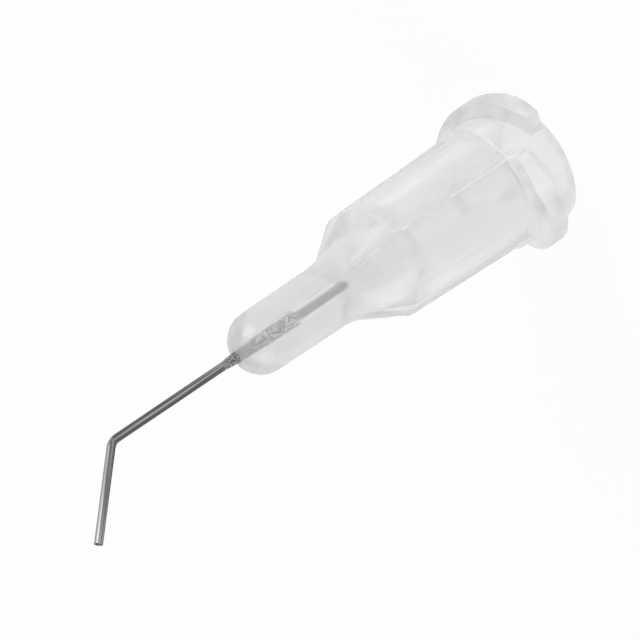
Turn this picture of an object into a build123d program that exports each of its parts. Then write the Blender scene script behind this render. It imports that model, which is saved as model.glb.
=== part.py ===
from build123d import *
import math
import os

# A dispensing needle tip with a bent end, in millimetres and degrees.
# It has three pieces: a moulded luer-lock hub, a stainless cannula, and the adhesive that bonds them.
# Each is drawn along the hub's own axis: z is zero at the front of the nose, where the cannula comes
# out, and rises to the open rear end, and the cannula bends towards +X.
# The whole tip is then turned over to stand on its open rear end, with the cannula up.

# Cannula: 27 gauge tube, half an inch of it outside the hub, measured along its centre line
cannula_outer_radius = 0.205
cannula_bore_radius = 0.105
cannula_exposed_length = 12.7
cannula_tip_length = 5.0
cannula_bend_angle = 45.0
cannula_bend_radius = 0.8
cannula_seat_depth = 6.85

# Hub: lengths of its stretches along the axis, from the nose to the open rear end
nose_length = 0.65
neck_length = 5.75
shoulder_length = 2.64
barrel_length = 7.12
flange_length = 2.88

# Hub: radii at the ends of those stretches
neck_front_radius = 1.54
neck_rear_radius = 1.59
barrel_front_radius = 2.8
barrel_rear_radius = 2.87
flange_radius = 3.2

# Hub: rounded corners
nose_round = 1.5
neck_round = 2.5
barrel_round = 0.3
flange_round = 0.12

# Grip ribs along the barrel, each with a ramp that starts ahead of the barrel
rib_count = 4
rib_turn = 74.0
rib_width = 0.5
rib_front_height = 0.17
rib_rear_height = 0.3
rib_overhang = 0.42
rib_ramp_angle = 33.5
rib_ramp_round = 0.6
rib_edge_round = 0.08

# Luer-lock thread: two starts of one lug each, and a lug runs from one mould line to the other
# Its front is cut off flat just behind the flange's front face.
lug_count = 2
lug_radius = 3.91
lug_lead = 5.0
lug_turn = -106.0
lug_setback = 2.78
lug_crest_width = 0.95
lug_crest_round = 0.1
lug_front_flank_angle = 22.0
lug_rear_flank_angle = 40.0
lug_end_angle = 45.0

# Luer socket: a taper of six per cent on its diameter, with the fluid passage ahead of it
socket_mouth_radius = 2.15
socket_depth = 8.9
socket_taper = 0.06
socket_mouth_round = 0.1
socket_floor_round = 0.15
passage_rear_radius = 1.25
passage_front_radius = 1.08
passage_length = 2.3
passage_round = 0.2
funnel_length = 0.9

# Needle bore: wider than the cannula, so that the adhesive creeps in between them
needle_bore_radius = 0.265
adhesive_depth = 3.55
bead_radius = 0.31
bead_length = 0.8

# Places along the axis that follow from those lengths
shoulder_start = nose_length + neck_length
barrel_start = shoulder_start + shoulder_length
flange_start = barrel_start + barrel_length
hub_length = flange_start + flange_length
lug_start = hub_length - lug_setback
lug_front = flange_start + flange_round / 2
lug_end = hub_length - 2 * flange_round
rib_front = barrel_start - rib_overhang
rib_end = flange_start + flange_round
socket_floor = hub_length - socket_depth
socket_floor_radius = socket_mouth_radius - socket_taper * socket_depth / 2
passage_floor = socket_floor - passage_length
funnel_end = passage_floor - funnel_length


def corners(places):
    """A closed outline through (radius, height, rounding) places."""
    return FilletPolyline(
        *[(radius, height) for radius, height, rounding in places],
        radius=[rounding for radius, height, rounding in places],
        close=True,
    )


def turned(outline):
    """The solid that an outline of radius and height sweeps out about the axis."""
    return revolve(Plane.XZ * make_face(outline), Axis.Z, 360)


def hub_core():
    """The bottle shape that carries the ribs and the thread."""
    return turned(
        corners(
            (
                (0, 0, 0),
                (neck_front_radius, nose_length, nose_round),
                (neck_rear_radius, shoulder_start, neck_round),
                (barrel_front_radius, barrel_start, barrel_round),
                (barrel_rear_radius, flange_start, 0),
                (flange_radius, flange_start, flange_round),
                (flange_radius, hub_length, flange_round),
                (0, hub_length, 0),
            )
        )
    )


def ribs():
    """The low ribs along the barrel, each with a ramp that rises out of the shoulder."""
    front_radius = barrel_front_radius + rib_front_height
    rear_radius = barrel_rear_radius + rib_rear_height
    ramp_length = (front_radius - neck_rear_radius) / math.tan(math.radians(rib_ramp_angle))
    envelope = turned(
        corners(
            (
                (0, rib_front - ramp_length, 0),
                (neck_rear_radius, rib_front - ramp_length, 0),
                (front_radius, rib_front, rib_ramp_round),
                (rear_radius, rib_end, 0),
                (0, rib_end, 0),
            )
        )
    )
    bar = Box(rear_radius, rib_width, hub_length, align=(Align.MIN, Align.CENTER, Align.MIN))
    rib = envelope & bar
    long_edges = rib.edges().filter_by(lambda edge: edge.length > barrel_length / 2)
    outer_edges = long_edges.sort_by(lambda edge: edge.center().X)[-2:]
    rib = fillet(outer_edges, rib_edge_round)
    return [Rot(0, 0, rib_turn + 360 * turn / rib_count) * rib for turn in range(rib_count)]


def lug_section():
    """The lug's section: its crest at zero, its root halfway into the hub's wall, and its front upwards."""
    depth = lug_radius - (barrel_rear_radius + socket_mouth_radius) / 2
    front = lug_crest_width / 2 + depth * math.tan(math.radians(lug_front_flank_angle))
    rear = lug_crest_width / 2 + depth * math.tan(math.radians(lug_rear_flank_angle))
    return make_face(
        corners(
            (
                (-depth, -rear, 0),
                (0, -lug_crest_width / 2, lug_crest_round),
                (0, lug_crest_width / 2, lug_crest_round),
                (-depth, front, 0),
            )
        )
    )


def between_lug_ends():
    """What a lug is cut to: each end slopes up from the mould line, and its front and rear are flat."""
    reach = lug_radius + lug_crest_width
    spread = flange_radius + reach / math.tan(math.radians(lug_end_angle))
    side_to_side = Polyline((flange_radius, 0), (spread, reach), (-spread, reach), (-flange_radius, 0), close=True)
    return Pos(0, 0, lug_front) * extrude(make_face(side_to_side), lug_end - lug_front)


def lugs():
    """The thread lugs, each swept along its helix and then cut to its ends."""
    overrun = lug_lead / (4 * lug_count)
    half_turn = lug_lead / lug_count
    path = Helix(lug_lead, half_turn + 2 * overrun, lug_radius, center=(0, 0, lug_start - overrun))
    path = Rot(0, 0, -360 * overrun / lug_lead) * path
    start = path @ 0
    across = Plane(origin=start, x_dir=(start.X, start.Y, 0), z_dir=path % 0)
    lug = sweep(across * lug_section(), path, is_frenet=True) & between_lug_ends()
    return [Rot(0, 0, lug_turn + 360 * turn / lug_count) * lug for turn in range(lug_count)]


def flow_path():
    """What hollows the hub: the luer socket, the passage, the funnel and the needle bore."""
    beyond = hub_length + socket_mouth_round
    mouth_clearance = socket_mouth_radius + 2 * socket_mouth_round
    return turned(
        corners(
            (
                (0, -bead_length, 0),
                (needle_bore_radius, -bead_length, 0),
                (needle_bore_radius, funnel_end, 0),
                (passage_front_radius, passage_floor, passage_round),
                (passage_rear_radius, socket_floor, 0),
                (socket_floor_radius, socket_floor, socket_floor_round),
                (socket_mouth_radius, hub_length, socket_mouth_round),
                (mouth_clearance, hub_length, 0),
                (mouth_clearance, beyond, 0),
                (0, beyond, 0),
            )
        )
    )


def luer_lock_hub():
    """The hub, moulded in one piece."""
    hub = hub_core()
    for rib in ribs():
        hub += rib
    for lug in lugs():
        hub += lug
    return hub - flow_path()


def cannula_line():
    """The cannula's centre line, from its inner end to its open tip."""
    turn = math.radians(cannula_bend_angle)
    corner = cannula_tip_length - cannula_exposed_length
    tip = (cannula_tip_length * math.sin(turn), 0, corner - cannula_tip_length * math.cos(turn))
    return FilletPolyline((0, 0, cannula_seat_depth), (0, 0, corner), tip, radius=cannula_bend_radius)


def cannula():
    """The bent stainless tube, cut square at both ends."""
    line = cannula_line()
    ring = Circle(cannula_outer_radius) - Circle(cannula_bore_radius)
    return sweep(Plane(origin=line @ 0, z_dir=line % 0) * ring, line)


def adhesive_bond(hub):
    """The cured adhesive: a sleeve in the needle bore, and the bead that it draws out to on the nose."""
    sleeve = turned(
        corners(
            (
                (cannula_outer_radius, -bead_length, 0),
                (bead_radius, 0, 0),
                (bead_radius, adhesive_depth, 0),
                (cannula_outer_radius, adhesive_depth, 0),
            )
        )
    )
    return sleeve - hub


hub = luer_lock_hub()
pieces = {"luer_lock_hub": hub, "cannula": cannula(), "adhesive_bond": adhesive_bond(hub)}

# The row's origin is on the hub's axis, in the plane of its rear face.
standing = Pos(0, 0, hub_length) * Rot(180, 0, 0)

os.makedirs("parts", exist_ok=True)
for name, solid in pieces.items():
    export_step(standing * solid, f"parts/{name}.step")
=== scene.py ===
"""A dispensing needle tip with a bent end: its looks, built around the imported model.

The tip stands on its open rear end, with the hub's axis on Z and the cannula bent towards +X. Pieces are
modelled in millimetres, because the modelling operators' own tolerances suit that size, and each mesh is
brought to metres when it is finished.
"""

import logging
import math
from dataclasses import dataclass
from enum import Enum
from typing import Callable, Iterable

import bpy
from mathutils import Matrix, Vector

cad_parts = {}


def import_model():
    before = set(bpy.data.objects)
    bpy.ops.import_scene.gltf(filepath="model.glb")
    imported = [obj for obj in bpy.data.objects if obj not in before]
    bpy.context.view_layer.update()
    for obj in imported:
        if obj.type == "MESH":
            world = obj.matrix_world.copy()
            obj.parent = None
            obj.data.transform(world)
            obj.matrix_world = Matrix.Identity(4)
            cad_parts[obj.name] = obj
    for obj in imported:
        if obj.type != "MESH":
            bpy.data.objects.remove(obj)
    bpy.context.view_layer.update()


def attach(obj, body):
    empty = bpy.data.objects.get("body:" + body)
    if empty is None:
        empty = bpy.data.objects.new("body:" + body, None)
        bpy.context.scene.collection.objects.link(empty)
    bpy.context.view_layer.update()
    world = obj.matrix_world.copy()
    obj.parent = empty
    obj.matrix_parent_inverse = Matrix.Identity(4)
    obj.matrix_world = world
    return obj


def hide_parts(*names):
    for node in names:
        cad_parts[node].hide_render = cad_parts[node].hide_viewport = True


log = logging.getLogger("needle_tip")

MM = 0.001
# The radius and height of a place on an outline, a value's two ends, and a place or direction in space.
Point = tuple[float, float]
Span = tuple[float, float]
Place = tuple[float, float, float]

# How close two vertices are, in millimetres, when they are welded into one, and when they are in one place.
WELD = 1e-4
SAME_PLACE = 1e-5
# The turn in radians below which a corner is straight, and the largest between two points of a rounding.
STRAIGHT = 1e-4
ROUNDING_STEP = math.radians(9)


# ---------------------------------------------------------------- colour and nodes


def linear(hex_colour: str) -> tuple[float, float, float, float]:
    """Turns an sRGB hex colour to the linear colour that a shader socket takes, by the sRGB curve.

    Args:
        hex_colour: Six hex digits, with or without a leading hash.

    Returns:
        Red, green, blue and an alpha of one.
    """
    digits = hex_colour.lstrip("#")
    channels = [int(digits[i:i + 2], 16) / 255 for i in (0, 2, 4)]
    decoded = [c / 12.92 if c <= 0.04045 else ((c + 0.055) / 1.055) ** 2.4 for c in channels]
    return (decoded[0], decoded[1], decoded[2], 1.0)


def per_mm(size_mm: float) -> float:
    """The scale that a texture on metres needs for one feature every size_mm."""
    return 1 / (size_mm * MM)


def add_node(tree: bpy.types.NodeTree, kind: str, settings: dict | None = None,
             links: dict | None = None) -> bpy.types.Node:
    """Adds a node, sets it up and links it.

    Args:
        tree: The node tree to add to.
        kind: The node's type, such as ShaderNodeMath.
        settings: Values by name, for the node's own properties or for its input sockets (by name or number).
        links: Output sockets by the name or number of the input that each one feeds.

    Returns:
        The new node.
    """
    node = tree.nodes.new(kind)
    for name, value in (settings or {}).items():
        if isinstance(name, str) and hasattr(node, name):
            setattr(node, name, value)
        else:
            node.inputs[name].default_value = value
    for name, source in (links or {}).items():
        tree.links.new(source, node.inputs[name])
    return node


# ---------------------------------------------------------------- outlines


@dataclass(frozen=True)
class Corner:
    """A corner of an outline: its radius from the axis, its height above the table, and its rounding."""

    radius: float
    height: float
    rounding: float = 0.0

    def place(self) -> Vector:
        """The corner as a flat vector."""
        return Vector((self.radius, self.height))


def rounded(corners: list[Corner]) -> list[Point]:
    """Runs through an open outline's corners and rounds those that ask for it.

    Args:
        corners: The outline's corners in order; its two ends aren't rounded.

    Returns:
        Radius and height of each point.
    """
    points: list[Point] = [tuple(corners[0].place())]
    for before, corner, after in zip(corners, corners[1:], corners[2:]):
        here = corner.place()
        back = (before.place() - here).normalized()
        ahead = (after.place() - here).normalized()
        turn = math.pi - back.angle(ahead)
        if corner.rounding <= 0 or turn < STRAIGHT:
            points.append(tuple(here))
            continue
        middle = here + (back + ahead).normalized() * corner.rounding / math.cos(turn / 2)
        start = here + back * corner.rounding * math.tan(turn / 2) - middle
        side = 1 if back.x * ahead.y - back.y * ahead.x < 0 else -1
        count = max(2, math.ceil(turn / ROUNDING_STEP))
        for index in range(count + 1):
            angle = side * turn * index / count
            spun = Vector((start.x * math.cos(angle) - start.y * math.sin(angle),
                           start.x * math.sin(angle) + start.y * math.cos(angle)))
            points.append(tuple(middle + spun))
    points.append(tuple(corners[-1].place()))
    return points


def divided(points: list[Point], longest: float) -> list[Point]:
    """Puts more points on the straight runs of an outline, so that no face on them is long and thin.

    Args:
        points: The outline.
        longest: The longest that a run may stay, in millimetres.

    Returns:
        The outline with its runs divided.
    """
    result = [points[0]]
    for (r0, h0), (r1, h1) in zip(points, points[1:]):
        count = max(1, math.ceil(math.hypot(r1 - r0, h1 - h0) / longest))
        result += [(r0 + (r1 - r0) * k / count, h0 + (h1 - h0) * k / count) for k in range(1, count + 1)]
    return result


# ---------------------------------------------------------------- modelling


class Solver(Enum):
    """How two closed meshes are put together."""

    UNION = "UNION"
    INTERSECT = "INTERSECT"
    DIFFERENCE = "DIFFERENCE"


class Bench:
    """The modelling moves that the pieces share. All of them work in millimetres."""

    @staticmethod
    def only(piece: bpy.types.Object) -> None:
        """Selects one object alone and makes it active, in object mode.

        Args:
            piece: The object.
        """
        if bpy.context.object and bpy.context.object.mode != "OBJECT":
            bpy.ops.object.mode_set(mode="OBJECT")
        bpy.ops.object.select_all(action="DESELECT")
        piece.select_set(True)
        bpy.context.view_layer.objects.active = piece

    @staticmethod
    def edit(piece: bpy.types.Object, action: str = "SELECT") -> None:
        """Opens one object in edit mode, with all or nothing of its mesh selected.

        Args:
            piece: The object.
            action: SELECT for all of it, or DESELECT for nothing.
        """
        Bench.only(piece)
        bpy.ops.object.mode_set(mode="EDIT")
        bpy.ops.mesh.select_mode(type="VERT")
        bpy.ops.mesh.select_all(action=action)

    @staticmethod
    def pick(piece: bpy.types.Object, test: Callable[[Vector], bool]) -> None:
        """Selects the vertices that pass a test, and stays in edit mode.

        Args:
            piece: The object.
            test: Whether a vertex at this place is selected.
        """
        Bench.edit(piece, "DESELECT")
        bpy.ops.object.mode_set(mode="OBJECT")
        for vertex in piece.data.vertices:
            vertex.select = test(vertex.co)
        bpy.ops.object.mode_set(mode="EDIT")

    @staticmethod
    def pick_edges(piece: bpy.types.Object, test: Callable[[Vector, Vector], bool]) -> None:
        """Selects the edges that pass a test, and stays in edit mode.

        Args:
            piece: The object.
            test: Whether an edge between these two places is selected.
        """
        Bench.edit(piece, "DESELECT")
        bpy.ops.mesh.select_mode(type="EDGE")
        bpy.ops.object.mode_set(mode="OBJECT")
        places = [vertex.co for vertex in piece.data.vertices]
        for edge in piece.data.edges:
            edge.select = test(places[edge.vertices[0]], places[edge.vertices[1]])
        bpy.ops.object.mode_set(mode="EDIT")

    @staticmethod
    def named(name: str) -> bpy.types.Object:
        """Names the active object and puts its place into its mesh.

        Args:
            name: Its new name.

        Returns:
            The object, in object mode.
        """
        if bpy.context.object.mode != "OBJECT":
            bpy.ops.object.mode_set(mode="OBJECT")
        piece = bpy.context.object
        piece.name = piece.data.name = name
        bpy.ops.object.transform_apply(location=True, rotation=True, scale=True)
        return piece

    @staticmethod
    def lathe(name: str, outline: list[Point], sides: int, hollow: bool = False) -> bpy.types.Object:
        """Turns an outline about Z, ring by ring: each ring is extruded and scaled from the last.

        Args:
            name: The new object's name.
            outline: Radius and height of each ring.
            sides: How many sides a ring has.
            hollow: Whether the last ring goes back to the first. Otherwise a flat face closes each end.

        Returns:
            The closed mesh.
        """
        bpy.ops.object.select_all(action="DESELECT")
        radius, height = outline[0]
        bpy.ops.mesh.primitive_circle_add(vertices=sides, radius=radius, location=(0, 0, height),
                                          fill_type="NOTHING" if hollow else "NGON")
        piece = bpy.context.object
        Bench.edit(piece)
        for next_radius, next_height in outline[1:] + outline[:hollow]:
            rise = {"value": (0, 0, next_height - height)}
            bpy.ops.mesh.extrude_region_move(TRANSFORM_OT_translate=rise)
            grow = next_radius / radius
            bpy.ops.transform.resize(value=(grow, grow, 1), center_override=(0, 0, next_height))
            radius, height = next_radius, next_height
        bpy.ops.mesh.select_all(action="SELECT")
        bpy.ops.mesh.remove_doubles(threshold=WELD)
        bpy.ops.mesh.normals_make_consistent(inside=False)
        return Bench.named(name)

    @staticmethod
    def bar(name: str, low: Place, high: Place) -> bpy.types.Object:
        """Makes a plain block to cut other meshes with.

        Args:
            name: The new object's name.
            low: Its lowest corner.
            high: Its highest corner.

        Returns:
            The block.
        """
        bpy.ops.object.select_all(action="DESELECT")
        middle = [(a + b) / 2 for a, b in zip(low, high)]
        sides = [b - a for a, b in zip(low, high)]
        bpy.ops.mesh.primitive_cube_add(size=1, location=middle, scale=sides)
        return Bench.named(name)

    @staticmethod
    def copy(piece: bpy.types.Object, name: str) -> bpy.types.Object:
        """Copies an object, with a mesh of its own.

        Args:
            piece: The object to copy.
            name: The copy's name.

        Returns:
            The copy.
        """
        double = piece.copy()
        double.data = piece.data.copy()
        double.name = double.data.name = name
        bpy.context.scene.collection.objects.link(double)
        return double

    @staticmethod
    def turn(piece: bpy.types.Object, angle: float) -> None:
        """Turns an object's mesh about Z.

        Args:
            piece: The object.
            angle: How far, in radians, anticlockwise from above.
        """
        Bench.edit(piece)
        # With no window the operator turns the other way, so the angle goes in with its sign changed.
        bpy.ops.transform.rotate(value=-angle, orient_axis="Z", center_override=(0, 0, 0))
        bpy.ops.object.mode_set(mode="OBJECT")

    @staticmethod
    def combine(piece: bpy.types.Object, others: Iterable[bpy.types.Object], how: Solver) -> None:
        """Puts other closed meshes together with a piece, one after another, and removes them.

        Args:
            piece: The object that is changed.
            others: The objects that change it.
            how: What is done with them.
        """
        for other in others:
            Bench.only(piece)
            modifier = piece.modifiers.new("combine", "BOOLEAN")
            modifier.operation = how.value
            modifier.solver = "EXACT"
            modifier.material_mode = "TRANSFER"
            modifier.object = other
            bpy.ops.object.modifier_apply(modifier=modifier.name)
            bpy.data.objects.remove(other)

    @staticmethod
    def finish(piece: bpy.types.Object, body: str, slot: str, material: bpy.types.Material,
               crease: float = 28.0) -> None:
        """Brings a piece to metres, smooths it, dresses it and makes it ride.

        Args:
            piece: The finished mesh, in millimetres.
            body: The CAD body that it rides on.
            slot: The record's material slot. It is not used.
            material: Its material, unless it has its own already.
            crease: The angle in degrees above which an edge stays sharp.
        """
        Bench.edit(piece)
        bpy.ops.mesh.remove_doubles(threshold=2 * WELD)
        bpy.ops.mesh.dissolve_degenerate(threshold=2 * WELD)
        bpy.ops.transform.resize(value=(MM, MM, MM), center_override=(0, 0, 0))
        bpy.ops.object.mode_set(mode="OBJECT")
        bpy.ops.object.shade_smooth_by_angle(angle=math.radians(crease))
        if not any(piece.data.materials):
            piece.data.materials.clear()
            piece.data.materials.append(material)
        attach(piece, body)
        log.info("%s: %d faces on %s", piece.name, len(piece.data.polygons), body)


# ---------------------------------------------------------------- finishes


def new_tree(name: str) -> tuple[bpy.types.Material, bpy.types.NodeTree]:
    """Makes a material with an empty node tree.

    Args:
        name: The material's name.

    Returns:
        The material and its tree.
    """
    made = bpy.data.materials.new(name)
    made.use_nodes = True
    made.node_tree.nodes.clear()
    return made, made.node_tree


def noise(tree: bpy.types.NodeTree, size_mm: float, place: bpy.types.NodeSocket,
          detail: float = 2.0) -> bpy.types.NodeSocket:
    """Adds a noise with features of a real size.

    Args:
        tree: The node tree to add to.
        size_mm: How far apart its features are, in millimetres.
        place: The coordinates it is laid out on, in metres.
        detail: How many finer octaves it has.

    Returns:
        Its value, about a half on average.
    """
    made = add_node(tree, "ShaderNodeTexNoise", {"Scale": per_mm(size_mm), "Detail": detail},
                    {"Vector": place})
    return made.outputs["Fac"]


def spread(tree: bpy.types.NodeTree, value: bpy.types.NodeSocket, low: float, high: float,
           start: float = 0.3, end: float = 0.7) -> bpy.types.NodeSocket:
    """Maps a value's run from start to end onto low to high.

    Args:
        tree: The node tree to add to.
        value: The value to map.
        low: What it is mapped to at start, and before it.
        high: What it is mapped to at end, and after it.
        start: Where the run starts.
        end: Where the run ends.

    Returns:
        The mapped value.
    """
    made = add_node(tree, "ShaderNodeMapRange",
                    {"From Min": start, "From Max": end, "To Min": low, "To Max": high}, {"Value": value})
    return made.outputs["Result"]


def bumped(tree: bpy.types.NodeTree, height: bpy.types.NodeSocket, depth_mm: float, strength: float,
           under: bpy.types.NodeSocket | None = None) -> bpy.types.NodeSocket:
    """Adds a relief to a surface.

    Args:
        tree: The node tree to add to.
        height: The relief, from zero to one.
        depth_mm: How deep it is, in millimetres.
        strength: How much of it shows.
        under: A coarser relief that it lies on.

    Returns:
        The surface's normal.
    """
    links = {"Height": height}
    if under is not None:
        links["Normal"] = under
    made = add_node(tree, "ShaderNodeBump", {"Strength": strength, "Distance": depth_mm * MM}, links)
    return made.outputs["Normal"]


@dataclass(frozen=True)
class NaturalPolypropylene:
    """Injection-moulded natural polypropylene: see-through and milky, glossy where the mould was polished.

    Heights are in millimetres above the table. The milk goes from its thin colour and share to its solid one
    over the heights in solid_from, and back over those in solid_to.
    """

    name: str = "natural_polypropylene_moulded"
    colour: str = "#FEFEFE"
    thin_milk: str = "#EEEFEE"
    solid_milk: str = "#E1E2E1"
    transmission: float = 0.85
    ior: float = 1.49
    roughness: Span = (0.07, 0.13)
    milkiness: Span = (0.26, 0.4)
    solid_milkiness: float = 0.05
    solid_from: Span = (11.8, 13.4)
    solid_to: Span = (19.04, 19.1)
    ripple_mm: float = 2.2
    ripple_depth_mm: float = 0.03
    ripple_strength: float = 0.4
    flow_mm: float = 1.3
    flow_stretch: float = 0.1
    grain_mm: float = 0.12
    grain_depth_mm: float = 0.0015
    grain_strength: float = 0.35

    def material(self) -> bpy.types.Material:
        """Builds the material.

        Returns:
            A material for the hub.
        """
        made, tree = new_tree(self.name)
        place = add_node(tree, "ShaderNodeTexCoord").outputs["Object"]
        # Shrinkage leaves slow ripples a couple of millimetres long, which bend what shows through the wall.
        rippled = bumped(tree, noise(tree, self.ripple_mm, place, 1.0), self.ripple_depth_mm,
                         self.ripple_strength)
        # The mould was spark-eroded and then polished, which leaves a fine even grain that softens the gloss.
        grain = noise(tree, self.grain_mm, place, 3.0)
        surface = bumped(tree, grain, self.grain_depth_mm, self.grain_strength, rippled)
        # The crystals that make the plastic milky are a little denser along the melt's flow.
        flow = add_node(tree, "ShaderNodeMapping", {"Scale": (1.0, 1.0, self.flow_stretch)},
                        {"Vector": place})
        streaks = spread(tree, noise(tree, self.flow_mm, flow.outputs["Vector"]), *self.milkiness)
        # Where the hub is solid there is more plastic to scatter light than in the barrel's wall.
        height = add_node(tree, "ShaderNodeSeparateXYZ", links={"Vector": place}).outputs["Z"]
        begun = spread(tree, height, 0.0, 1.0, *(end * MM for end in self.solid_from))
        not_over = spread(tree, height, 1.0, 0.0, *(end * MM for end in self.solid_to))
        solid = add_node(tree, "ShaderNodeMath", {"operation": "MULTIPLY"}, {0: begun, 1: not_over})
        milk_share = add_node(tree, "ShaderNodeMath", {"operation": "MULTIPLY_ADD", 1: self.solid_milkiness},
                              {0: solid.outputs["Value"], 2: streaks})
        milk = add_node(tree, "ShaderNodeValToRGB", links={"Fac": solid.outputs["Value"]})
        for stop, colour in zip(milk.color_ramp.elements, (self.thin_milk, self.solid_milk)):
            stop.color = linear(colour)
        clear = add_node(tree, "ShaderNodeBsdfPrincipled", {
            "Base Color": linear(self.colour), "IOR": self.ior, "Transmission Weight": self.transmission},
            {"Roughness": spread(tree, grain, *self.roughness), "Normal": surface})
        milky = add_node(tree, "ShaderNodeBsdfTranslucent",
                         links={"Color": milk.outputs["Color"], "Normal": surface})
        both = add_node(tree, "ShaderNodeMixShader", links={
            0: milk_share.outputs["Value"], 1: clear.outputs["BSDF"], 2: milky.outputs["BSDF"]})
        add_node(tree, "ShaderNodeOutputMaterial", links={"Surface": both.outputs["Shader"]})
        return made


@dataclass(frozen=True)
class DrawnStainless:
    """Drawn stainless steel tube: grey, with die lines along it and painted streaks of shade and highlight.
    """

    # The grey is darker than bare steel as painted shade, and the bright streaks are a painted highlight.
    shaded_steel: str = "#5A5958"
    highlight_streak: str = "#ACABA8"
    edge: str = "#8C8C8C"
    roughness: Span = (0.28, 0.42)
    painted_streaks_from: Span = (0.4, 0.6)
    line_mm: float = 0.11
    line_depth_mm: float = 0.006
    line_strength: float = 0.3
    stretch: float = 0.012
    bend_height: float = 26.74
    bend_blend: float = 0.1
    bend_angle: float = 45.0

    def along_tube(self, tree: bpy.types.NodeTree) -> bpy.types.NodeSocket:
        """Lays out coordinates whose third axis runs along the tube, before the bend and after it.

        Args:
            tree: The node tree to add to.

        Returns:
            The coordinates, squeezed along the tube, so that a noise on them is drawn out into lines.
        """
        place = add_node(tree, "ShaderNodeTexCoord").outputs["Object"]
        after = add_node(tree, "ShaderNodeMapping", {
            "vector_type": "POINT", "Location": (0.0, 0.0, -self.bend_height * MM)}, {"Vector": place})
        turned = add_node(tree, "ShaderNodeMapping", {
            "Rotation": (0.0, -math.radians(self.bend_angle), 0.0)}, {"Vector": after.outputs["Vector"]})
        height = add_node(tree, "ShaderNodeSeparateXYZ", links={"Vector": place}).outputs["Z"]
        past = spread(tree, height, 0.0, 1.0, (self.bend_height - self.bend_blend) * MM,
                      (self.bend_height + self.bend_blend) * MM)
        # The sockets of a Mix node for vectors share their names with others, so they go by number.
        either = add_node(tree, "ShaderNodeMix", {"data_type": "VECTOR"})
        tree.links.new(past, either.inputs["Factor"])
        tree.links.new(after.outputs["Vector"], either.inputs[4])
        tree.links.new(turned.outputs["Vector"], either.inputs[5])
        flat = add_node(tree, "ShaderNodeMapping", {"Scale": (1.0, 1.0, self.stretch)},
                        {"Vector": either.outputs[1]})
        return flat.outputs["Vector"]

    def material(self) -> bpy.types.Material:
        """Builds the material.

        Returns:
            A material for the cannula.
        """
        made, tree = new_tree("stainless_steel_drawn")
        # Drawing through a die leaves lines along the whole tube. The real ones are a few hundredths of a
        # millimetre apart, too fine to be seen here, so these are about three times as coarse.
        die_lines_and_highlights = noise(tree, self.line_mm, self.along_tube(tree), 3.0)
        # The tint from grey to bright along these lines is painted reflection: streaks of shade and highlight
        # along the tube.
        painted_streaks = add_node(tree, "ShaderNodeValToRGB", links={"Fac": die_lines_and_highlights})
        for stop, at, colour in zip(painted_streaks.color_ramp.elements, self.painted_streaks_from, (self.shaded_steel, self.highlight_streak)):
            stop.position, stop.color = at, linear(colour)
        shader = add_node(tree, "ShaderNodeBsdfPrincipled", {
            "Metallic": 1.0, "Specular Tint": linear(self.edge)}, {
            "Base Color": painted_streaks.outputs["Color"], "Roughness": spread(tree, die_lines_and_highlights, *self.roughness),
            "Normal": bumped(tree, die_lines_and_highlights, self.line_depth_mm, self.line_strength)})
        add_node(tree, "ShaderNodeOutputMaterial", links={"Surface": shader.outputs["BSDF"]})
        return made


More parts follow.
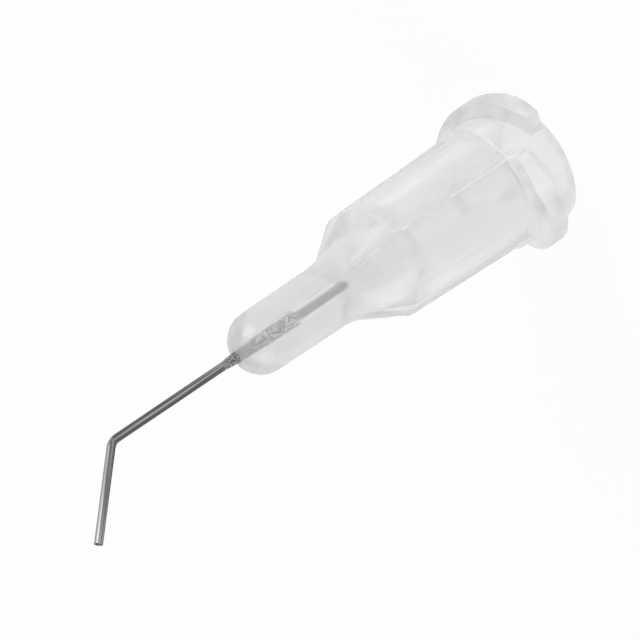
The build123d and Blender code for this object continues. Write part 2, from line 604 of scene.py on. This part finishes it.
@dataclass(frozen=True)
class CuredAdhesive:
    """Cured clear adhesive: glossy, see-through, and grey with trapped bubbles where it crept deepest.

    Heights are in millimetres above the table. The bubbles' share goes from its first value to its second
    over the heights in gathered_from.
    """

    # Its see-through part is tinted grey as painted shade, which darkens the cannula seen through it.
    painted_shade_colour: str = "#B4B4B2"
    dark_bubble: str = "#2A2A29"
    pale_bubble: str = "#F2F2F0"
    ior: float = 1.5
    roughness: Span = (0.03, 0.1)
    transmission: float = 0.96
    bubble_mm: float = 0.08
    bubble_depth_mm: float = 0.01
    bubble_strength: float = 0.5
    bubble_roughness: float = 0.3
    bubble_from: Span = (0.49, 0.52)
    pale_from: Span = (0.38, 0.42)
    pale_shift: Place = (0.08, 0.0, 0.0)
    gathered_from: Span = (16.2, 18.0)
    bubble_share: Span = (1.0, 0.45)

    def material(self) -> bpy.types.Material:
        """Builds the material.

        Returns:
            A material for the adhesive.
        """
        made, tree = new_tree("adhesive_cured_clear")
        place = add_node(tree, "ShaderNodeTexCoord").outputs["Object"]
        # The real bubbles are a few hundredths of a millimetre across, too fine to show in the render, so
        # these are about twice as coarse.
        bubbles = noise(tree, self.bubble_mm, place, 2.0)
        height = add_node(tree, "ShaderNodeSeparateXYZ", links={"Vector": place}).outputs["Z"]
        # They gather at the inner end, where the adhesive stopped creeping.
        gathered = spread(tree, height, *self.bubble_share, *(end * MM for end in self.gathered_from))
        share = add_node(tree, "ShaderNodeMath", {"operation": "MULTIPLY"}, {
            0: gathered, 1: spread(tree, bubbles, 0.0, 1.0, *self.bubble_from)})
        relief = bumped(tree, bubbles, self.bubble_depth_mm, self.bubble_strength)
        # The grey base colour here is painted shade on the cannula behind.
        clear = add_node(tree, "ShaderNodeBsdfPrincipled", {
            "Base Color": linear(self.painted_shade_colour), "IOR": self.ior,
            "Transmission Weight": self.transmission},
            {"Roughness": spread(tree, bubbles, *self.roughness), "Normal": relief})
        # A bubble is dark where it turns the light back, and pale where it scatters it. Which of the two
        # it does comes from the same noise in another place.
        shifted = add_node(tree, "ShaderNodeMapping", {"Location": self.pale_shift}, {"Vector": place})
        shade = add_node(tree, "ShaderNodeValToRGB",
                         links={"Fac": noise(tree, self.bubble_mm, shifted.outputs["Vector"], 1.0)})
        shades = (self.dark_bubble, self.pale_bubble)
        for stop, at, colour in zip(shade.color_ramp.elements, self.pale_from, shades):
            stop.position, stop.color = at, linear(colour)
        bubbly = add_node(tree, "ShaderNodeBsdfPrincipled", {
            "IOR": self.ior, "Roughness": self.bubble_roughness},
            {"Base Color": shade.outputs["Color"], "Normal": relief})
        both = add_node(tree, "ShaderNodeMixShader", links={
            0: share.outputs["Value"], 1: clear.outputs["BSDF"], 2: bubbly.outputs["BSDF"]})
        add_node(tree, "ShaderNodeOutputMaterial", links={"Surface": both.outputs["Shader"]})
        return made


# ---------------------------------------------------------------- the hub


@dataclass
class LuerLockHub:
    """The moulded hub, with its ribs, its thread lugs, its flow path and its mould lines.

    Lengths are in millimetres, heights are above the table, and turns are in degrees from +X.
    """

    length: float = 19.04
    flange_end: float = 2.88
    barrel_end: float = 10.0
    shoulder_end: float = 12.64
    nose_edge: float = 18.39
    neck_front_radius: float = 1.54
    neck_rear_radius: float = 1.59
    barrel_front_radius: float = 2.8
    barrel_rear_radius: float = 2.87
    flange_radius: float = 3.2
    nose_round: float = 1.5
    neck_round: float = 2.5
    barrel_round: float = 0.3
    flange_round: float = 0.12

    socket_mouth_radius: float = 2.15
    socket_floor_radius: float = 1.883
    socket_depth: float = 8.9
    socket_mouth_round: float = 0.1
    socket_floor_round: float = 0.15
    passage_rear_radius: float = 1.25
    passage_front_radius: float = 1.08
    passage_end: float = 11.2
    passage_round: float = 0.2
    funnel_end: float = 12.1
    needle_bore_radius: float = 0.265
    needle_bore_end: float = 15.0
    needle_fit_radius: float = 0.222
    needle_fit_start: float = 16.1

    rib_count: int = 4
    rib_turn: float = 16.0
    rib_width: float = 0.5
    rib_low: float = 2.76
    rib_corner: float = 10.42
    rib_foot: float = 12.505
    rib_front_radius: float = 2.97
    rib_rear_radius: float = 3.17
    rib_ramp_round: float = 0.6
    rib_edge_round: float = 0.08
    fin_sides: int = 12
    fin_spacing: float = 1.6
    fin_edge_segments: int = 3
    fin_edge_slack: float = 0.01
    fin_ring_slack: float = 0.1

    lug_count: int = 2
    lug_radius: float = 3.91
    lug_lead: float = 5.0
    lug_turn: float = -74.0
    lug_low: float = 0.28
    lug_rear_cut: float = 0.24
    lug_front_cut: float = 2.82
    lug_crest_width: float = 0.97
    lug_crest_round: float = 0.1
    lug_front_flank: float = 22.0
    lug_rear_flank: float = 40.0
    lug_end_slope: float = 45.0
    lug_overrun: float = 25.0
    lug_steps: int = 110
    lug_crest_segments: int = 4

    mould_line_count: int = 2
    mould_line_turn: float = 106.0
    mould_line_height: float = 0.02
    mould_line_width: float = 0.08
    mould_line_end: float = 17.3
    core_radius: float = 0.1
    ring_spacing: float = 0.8
    sides: int = 160

    def core(self) -> bpy.types.Object:
        """Turns the bottle shape that carries the ribs and the thread.

        Returns:
            The shape, still solid.
        """
        return Bench.lathe("moulded_hub", divided(rounded([
            Corner(self.socket_mouth_radius, 0),
            Corner(self.flange_radius, 0, self.flange_round),
            Corner(self.flange_radius, self.flange_end, self.flange_round),
            Corner(self.barrel_rear_radius, self.flange_end),
            Corner(self.barrel_front_radius, self.barrel_end, self.barrel_round),
            Corner(self.neck_rear_radius, self.shoulder_end, self.neck_round),
            Corner(self.neck_front_radius, self.nose_edge, self.nose_round),
            Corner(self.core_radius, self.length)]), self.ring_spacing), self.sides)

    def flow_path(self) -> bpy.types.Object:
        """Turns what hollows the hub: the luer socket, the passage, the funnel and the needle bore.

        Returns:
            The shape to cut the hub with.
        """
        mouth = self.socket_mouth_radius + self.socket_mouth_round
        path = rounded([
            Corner(mouth + self.socket_mouth_round, 0),
            Corner(self.socket_mouth_radius, 0, self.socket_mouth_round),
            Corner(self.socket_floor_radius, self.socket_depth, self.socket_floor_round),
            Corner(self.passage_rear_radius, self.socket_depth),
            Corner(self.passage_front_radius, self.passage_end, self.passage_round),
            Corner(self.needle_bore_radius, self.funnel_end),
            Corner(self.needle_bore_radius, self.needle_bore_end),
            Corner(self.needle_fit_radius, self.needle_fit_start),
            Corner(self.needle_fit_radius, self.length + self.needle_bore_radius)])
        below = (mouth, -self.socket_mouth_round)
        return Bench.lathe("flow_path", divided([below] + path[1:], self.ring_spacing), self.sides)

    def fin(self, name: str, corners: list[Corner], width: float, edge_round: float) -> bpy.types.Object:
        """A flat-topped bar along the hub, cut from a turned shape of few sides.

        Args:
            name: The new object's name.
            corners: The bar's outline, from its inner rear corner to its inner front corner.
            width: The bar's width.
            edge_round: The rounding of its long outer edges.

        Returns:
            The bar, on the +X side.
        """
        half_side = math.pi / self.fin_sides
        outline = divided(rounded(corners), self.fin_spacing)
        fin = Bench.lathe(name, [(radius / math.cos(half_side), height) for radius, height in outline],
                          self.fin_sides)
        Bench.turn(fin, half_side)
        inner = corners[0].radius
        slab = Bench.bar("slab", (inner, -width / 2, -self.length),
                         (self.lug_radius, width / 2, 2 * self.length))
        Bench.combine(fin, [slab], Solver.INTERSECT)
        # The edges to round are those on either side of the slab that aren't at its root or across it.
        edge = width / 2 - self.fin_edge_slack * edge_round
        outer = inner + edge_round
        Bench.pick_edges(fin, lambda a, b: min(a.x, b.x) > outer and a.y * b.y > 0
                         and min(abs(a.y), abs(b.y)) > edge
                         and abs(a.z - b.z) > self.fin_ring_slack * edge_round)
        bpy.ops.mesh.bevel(offset=edge_round, segments=self.fin_edge_segments, profile=0.5)
        bpy.ops.object.mode_set(mode="OBJECT")
        return fin

    def rib(self) -> bpy.types.Object:
        """Makes one rib, on the +X side, with a ramp that rises out of the shoulder.

        Returns:
            The rib.
        """
        inner = self.neck_front_radius - self.rib_edge_round
        return self.fin("rib", [
            Corner(inner, self.rib_low),
            Corner(self.rib_rear_radius, self.rib_low),
            Corner(self.rib_front_radius, self.rib_corner, self.rib_ramp_round),
            Corner(self.neck_rear_radius, self.rib_foot),
            Corner(inner, self.rib_foot)], self.rib_width, self.rib_edge_round)

    def mould_line(self) -> bpy.types.Object:
        """Makes the fine ridge that the mould's halves leave along a rib and on over the neck.

        Returns:
            The ridge, on the +X side.
        """
        proud = self.mould_line_height
        inner = self.neck_front_radius - self.rib_edge_round
        over_rib = self.fin("mould_line", [
            Corner(inner, self.rib_low),
            Corner(self.rib_rear_radius + proud, self.rib_low),
            Corner(self.rib_front_radius + proud, self.rib_corner, self.rib_ramp_round),
            Corner(self.neck_rear_radius + proud, self.rib_foot),
            Corner(inner, self.rib_foot)], self.mould_line_width, proud)
        over_neck = self.fin("over_neck", [
            Corner(inner, self.barrel_end),
            Corner(self.barrel_front_radius, self.barrel_end),
            Corner(self.neck_rear_radius + proud, self.shoulder_end, self.neck_round),
            Corner(self.neck_front_radius + proud, self.mould_line_end),
            Corner(inner, self.mould_line_end)], self.mould_line_width, proud)
        Bench.combine(over_rib, [over_neck], Solver.UNION)
        return over_rib

    def lug(self) -> bpy.types.Object:
        """Makes one thread lug: its section is screwed round the axis and then cut to its ends.

        Returns:
            The lug, between the mould lines on the +X and -X sides.
        """
        depth = self.lug_radius - (self.barrel_rear_radius + self.socket_mouth_radius) / 2
        half = self.lug_crest_width / 2
        nose_side = half + depth * math.tan(math.radians(self.lug_front_flank))
        rear_side = half + depth * math.tan(math.radians(self.lug_rear_flank))
        bpy.ops.object.select_all(action="DESELECT")
        bpy.ops.mesh.primitive_plane_add(size=2, location=(0, 0, 0))
        piece = Bench.named("lug")
        root = self.lug_radius - depth
        low = self.lug_low - self.lug_lead * self.lug_overrun / 360
        goals = {(1, 1): (self.lug_radius, low + half), (1, -1): (self.lug_radius, low - half),
                 (-1, 1): (root, low + nose_side), (-1, -1): (root, low - rear_side)}
        for (x, y), (radius, height) in goals.items():
            Bench.pick(piece, lambda co, at=Vector((x, y, 0)): (co - at).length < SAME_PLACE)
            bpy.ops.transform.translate(value=(radius - x, -y, height))
            bpy.ops.object.mode_set(mode="OBJECT")
        Bench.pick(piece, lambda co: co.x > self.lug_radius - WELD)
        bpy.ops.mesh.bevel(offset=self.lug_crest_round, segments=self.lug_crest_segments, affect="VERTICES")
        bpy.ops.mesh.select_all(action="SELECT")
        bpy.ops.mesh.delete(type="ONLY_FACE")
        bpy.ops.object.mode_set(mode="OBJECT")
        round_axis = 360 / self.lug_count + 2 * self.lug_overrun
        screw = piece.modifiers.new("thread", "SCREW")
        screw.angle = math.radians(round_axis)
        screw.screw_offset = self.lug_lead * round_axis / 360
        screw.steps = screw.render_steps = self.lug_steps
        Bench.only(piece)
        bpy.ops.object.modifier_apply(modifier=screw.name)
        Bench.turn(piece, -math.radians(self.lug_overrun))
        self.cut_lug(piece)
        return piece

    def cut_lug(self, piece: bpy.types.Object) -> None:
        """Cuts a lug at its two mould lines, with the slope each end has there, and flat in front and behind.

        Args:
            piece: The lug.
        """
        slope = math.radians(self.lug_end_slope)
        outward = math.sin(slope), -math.cos(slope)
        cuts = (((self.flange_radius, 0, 0), (outward[0], outward[1], 0)),
                ((-self.flange_radius, 0, 0), (-outward[0], outward[1], 0)),
                ((0, 0, 0), (0, -1, 0)),
                ((0, 0, self.lug_front_cut), (0, 0, 1)),
                ((0, 0, self.lug_rear_cut), (0, 0, -1)))
        for place, normal in cuts:
            Bench.edit(piece)
            bpy.ops.mesh.bisect(plane_co=place, plane_no=normal, use_fill=True, clear_outer=True,
                                threshold=SAME_PLACE)
        bpy.ops.mesh.select_all(action="SELECT")
        bpy.ops.mesh.normals_make_consistent(inside=False)
        bpy.ops.object.mode_set(mode="OBJECT")

    def build(self, body: str, slot: str, material: bpy.types.Material,
              bore_material: bpy.types.Material) -> bpy.types.Object:
        """Builds the hub and lets it stand for its CAD node.

        Args:
            body: The CAD body that it rides on.
            slot: The record's material slot.
            material: The material of its outside.
            bore_material: The material of its flow path.

        Returns:
            The hub.
        """
        hub = self.core()
        hub.data.materials.append(material)
        around = ((self.rib(), self.rib_turn, self.rib_count),
                  (self.mould_line(), self.mould_line_turn, self.mould_line_count),
                  (self.lug(), self.lug_turn, self.lug_count))
        parts = []
        for first, turn, count in around:
            for index in range(count):
                part = Bench.copy(first, f"{first.name}_{index}")
                part.data.materials.append(material)
                Bench.turn(part, math.radians(turn + 360 * index / count))
                parts.append(part)
            bpy.data.objects.remove(first)
        Bench.combine(hub, parts, Solver.UNION)
        flow_path = self.flow_path()
        flow_path.data.materials.append(bore_material)
        Bench.combine(hub, [flow_path], Solver.DIFFERENCE)
        Bench.finish(hub, body, slot, material)
        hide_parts("luer_lock_hub")
        return hub


# ---------------------------------------------------------------- the cannula


@dataclass
class Cannula:
    """The bent stainless tube, cut square at both ends. Lengths are in millimetres."""

    outer_radius: float = 0.205
    bore_radius: float = 0.105
    inner_end: float = 12.19
    corner: float = 26.74
    tip_length: float = 5.0
    bend_angle: float = 45.0
    bend_radius: float = 0.8
    edge_round: float = 0.015
    edge_segments: int = 2
    edge_angle: float = 60.0
    crease: float = 40.0
    sides: int = 48
    rings_before_bend: int = 12
    rings_in_bend: int = 16
    rings_after_bend: int = 6

    def build(self, body: str, slot: str, material: bpy.types.Material) -> bpy.types.Object:
        """Extrudes a ring up the first leg, spins it round the bend, and extrudes the last leg.

        Args:
            body: The CAD body that it rides on.
            slot: The record's material slot.
            material: Its material.

        Returns:
            The cannula.
        """
        turn = math.radians(self.bend_angle)
        setback = self.bend_radius * math.tan(turn / 2)
        rise = self.corner - setback - self.inner_end
        leg = self.tip_length - setback
        bpy.ops.object.select_all(action="DESELECT")
        bpy.ops.mesh.primitive_circle_add(vertices=self.sides, radius=self.outer_radius,
                                          location=(0, 0, self.inner_end))
        piece = bpy.context.object
        Bench.edit(piece)
        bpy.ops.mesh.extrude_region_move()
        inward = self.bore_radius / self.outer_radius
        bpy.ops.transform.resize(value=(inward, inward, 1), center_override=(0, 0, self.inner_end))
        bpy.ops.mesh.select_all(action="SELECT")
        for _ in range(self.rings_before_bend):
            step = (0, 0, rise / self.rings_before_bend)
            bpy.ops.mesh.extrude_region_move(TRANSFORM_OT_translate={"value": step})
        # The operator turns against the angle it is given.
        bpy.ops.mesh.spin(steps=self.rings_in_bend, angle=-turn, axis=(0, 1, 0),
                          center=(self.bend_radius, 0, self.corner - setback))
        for _ in range(self.rings_after_bend):
            length = leg / self.rings_after_bend
            step = (length * math.sin(turn), 0, length * math.cos(turn))
            bpy.ops.mesh.extrude_region_move(TRANSFORM_OT_translate={"value": step})
        bpy.ops.mesh.select_all(action="SELECT")
        bpy.ops.mesh.remove_doubles(threshold=WELD)
        bpy.ops.mesh.normals_make_consistent(inside=False)
        piece = Bench.named("steel_cannula")
        edge = piece.modifiers.new("deburred", "BEVEL")
        edge.width = self.edge_round
        edge.segments = self.edge_segments
        edge.limit_method = "ANGLE"
        edge.angle_limit = math.radians(self.edge_angle)
        bpy.ops.object.modifier_apply(modifier=edge.name)
        Bench.finish(piece, body, slot, material, self.crease)
        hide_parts("cannula")
        return piece


# ---------------------------------------------------------------- the adhesive


@dataclass
class AdhesiveBond:
    """The cured adhesive: it fills the needle bore round the cannula and ends in a bead on the nose.

    Lengths are in millimetres, and heights are above the table.
    """

    inner_end: float = 15.49
    meniscus_depth: float = 0.06
    meniscus_round: float = 0.02
    nose: float = 18.9
    tail: float = 19.84
    inside_radius: float = 0.2
    cannula_radius: float = 0.205
    filled_radius: float = 0.252
    fit_radius: float = 0.228
    fit_start: float = 16.1
    bead_radius: float = 0.31
    bead_round: float = 0.1
    bead_top: float = 19.15
    bead_top_radius: float = 0.27
    tail_radius: float = 0.209
    ring_spacing: float = 0.15
    crease: float = 60.0
    sides: int = 64

    def build(self, body: str, slot: str, material: bpy.types.Material) -> bpy.types.Object:
        """Turns the adhesive's outline about the axis.

        It reaches just past the bore's wall and the cannula's, so that no thin film of air is left between.

        Args:
            body: The CAD body that it rides on.
            slot: The record's material slot.
            material: Its material.

        Returns:
            The adhesive.
        """
        middle = (self.cannula_radius + self.filled_radius) / 2
        outline = rounded([
            Corner(self.inside_radius, self.inner_end),
            Corner(self.cannula_radius, self.inner_end),
            Corner(middle, self.inner_end + self.meniscus_depth, self.meniscus_round),
            Corner(self.filled_radius, self.inner_end),
            Corner(self.fit_radius, self.fit_start),
            Corner(self.fit_radius, self.nose),
            Corner(self.bead_radius, self.nose),
            Corner(self.bead_top_radius, self.bead_top, self.bead_round),
            Corner(self.tail_radius, self.tail),
            Corner(self.inside_radius, self.tail)])
        piece = Bench.lathe("adhesive_bead", divided(outline, self.ring_spacing), self.sides, hollow=True)
        Bench.finish(piece, body, slot, material, self.crease)
        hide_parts("adhesive_bond")
        return piece


# ---------------------------------------------------------------- the studio


@dataclass(frozen=True)
class SoftLamp:
    """A square soft lamp: its name, where it hangs and how wide it is in metres, and its power in watts."""

    name: str
    place: Place
    size: float
    watts: float


@dataclass
class Studio:
    """The pale floor, the plain soft light and the camera. Lengths are in metres."""

    floor_size: float = 3.0
    # The rear face would meet the floor exactly, and light inside the plastic would be lost between them.
    floor_gap: float = 0.00004
    paper: str = "#FAFAFA"
    white: str = "#FFFFFF"
    paper_white_share: float = 0.93
    room_level: float = 0.5
    lamps: tuple[SoftLamp, ...] = (SoftLamp("key", (-0.55, 0.3, 0.4), 0.45, 2.6),
                                   SoftLamp("fill", (0.6, 0.14, 0.25), 0.6, 1.8))
    lamp_aim: Place = (0.0, 0.0, 0.015)
    camera_place: Place = (0.0018358, 0.3413757, 0.2088334)
    camera_right: Place = (0.560685, 0.408778, -0.720092)
    camera_up: Place = (-0.828024, 0.279778, -0.485901)
    focal_pixels: float = 8514.88
    picture_pixels: int = 640
    sensor_mm: float = 36.0
    nearest: float = 0.01
    farthest: float = 20.0

    def camera(self) -> None:
        """Adds the camera, where the photograph's own camera was."""
        right, up = Vector(self.camera_right).normalized(), Vector(self.camera_up)
        back = right.cross(up).normalized()
        up = back.cross(right)
        data = bpy.data.cameras.new("camera")
        data.sensor_width = self.sensor_mm
        data.lens = self.focal_pixels / self.picture_pixels * self.sensor_mm
        data.clip_start, data.clip_end = self.nearest, self.farthest
        camera = bpy.data.objects.new("camera", data)
        facing = Matrix((right, up, back)).transposed().to_4x4()
        camera.matrix_world = Matrix.Translation(self.camera_place) @ facing
        bpy.context.scene.collection.objects.link(camera)
        bpy.context.scene.camera = camera

    def seen_white(self, tree: bpy.types.NodeTree) -> bpy.types.NodeSocket:
        """Tells the rays that see a surface from those that it lights.

        Args:
            tree: The node tree to add to.

        Returns:
            One for the eye, a reflection or see-through plastic, and zero for the light on other surfaces.
        """
        path = add_node(tree, "ShaderNodeLightPath")
        either = add_node(tree, "ShaderNodeMath", {"operation": "MAXIMUM"},
                          {0: path.outputs["Is Camera Ray"], 1: path.outputs["Is Glossy Ray"]})
        any_of = add_node(tree, "ShaderNodeMath", {"operation": "MAXIMUM"},
                          {0: either.outputs["Value"], 1: path.outputs["Is Transmission Ray"]})
        return any_of.outputs["Value"]

    def floor(self) -> None:
        """Adds the floor: white to the eye, with a trace of the object's shadow."""
        bpy.ops.object.select_all(action="DESELECT")
        bpy.ops.mesh.primitive_plane_add(size=self.floor_size, location=(0, 0, -self.floor_gap))
        floor = Bench.named("floor")
        made, tree = new_tree("paper_sweep_white")
        paper = add_node(tree, "ShaderNodeBsdfDiffuse", {"Color": linear(self.paper)})
        glow = add_node(tree, "ShaderNodeEmission", {"Color": linear(self.white), "Strength": 1.0})
        share = add_node(tree, "ShaderNodeMath", {"operation": "MULTIPLY", 1: self.paper_white_share},
                         {0: self.seen_white(tree)})
        mix = add_node(tree, "ShaderNodeMixShader", links={
            0: share.outputs["Value"], 1: paper.outputs["BSDF"], 2: glow.outputs["Emission"]})
        add_node(tree, "ShaderNodeOutputMaterial", links={"Surface": mix.outputs["Shader"]})
        floor.data.materials.append(made)

    def world(self) -> None:
        """Sets the surroundings: white to the eye, and a soft even light otherwise."""
        world = bpy.data.worlds.new("studio")
        world.use_nodes = True
        tree = world.node_tree
        tree.nodes.clear()
        strength = add_node(tree, "ShaderNodeMapRange", {"To Min": self.room_level, "To Max": 1.0},
                            {"Value": self.seen_white(tree)})
        back = add_node(tree, "ShaderNodeBackground", {"Color": linear(self.white)},
                        {"Strength": strength.outputs["Result"]})
        add_node(tree, "ShaderNodeOutputWorld", links={"Surface": back.outputs["Background"]})
        bpy.context.scene.world = world

    def hang(self, lamp: SoftLamp) -> None:
        """Adds a lamp that faces the middle of the part.

        Args:
            lamp: The lamp.
        """
        data = bpy.data.lights.new(lamp.name, "AREA")
        data.size, data.energy = lamp.size, lamp.watts
        hung = bpy.data.objects.new(lamp.name, data)
        towards = Vector(self.lamp_aim) - Vector(lamp.place)
        facing = towards.to_track_quat("-Z", "Y").to_matrix().to_4x4()
        hung.matrix_world = Matrix.Translation(lamp.place) @ facing
        bpy.context.scene.collection.objects.link(hung)

    def build(self) -> None:
        """Builds the studio."""
        self.camera()
        self.floor()
        self.world()
        for lamp in self.lamps:
            self.hang(lamp)
        bpy.context.scene.view_settings.view_transform = "Standard"


def main() -> None:
    """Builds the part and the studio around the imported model."""
    logging.basicConfig(level=logging.INFO, format="%(name)s: %(message)s")
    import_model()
    body = "root"
    outside = NaturalPolypropylene()
    flow_path = NaturalPolypropylene(name="natural_polypropylene_bore", milkiness=(0.02, 0.06),
                                     solid_milkiness=0.2, solid_from=(8.6, 8.85), solid_to=(11.9, 12.3))
    hub = LuerLockHub().build(body, "natural_polypropylene", outside.material(), flow_path.material())
    cannula = Cannula().build(body, "stainless_steel", DrawnStainless().material())
    bond = AdhesiveBond().build(body, "cured_adhesive", CuredAdhesive().material())
    Studio().build()
    log.info("built %s", ", ".join(piece.name for piece in (hub, cannula, bond)))


if __name__ == "__main__":
    main()
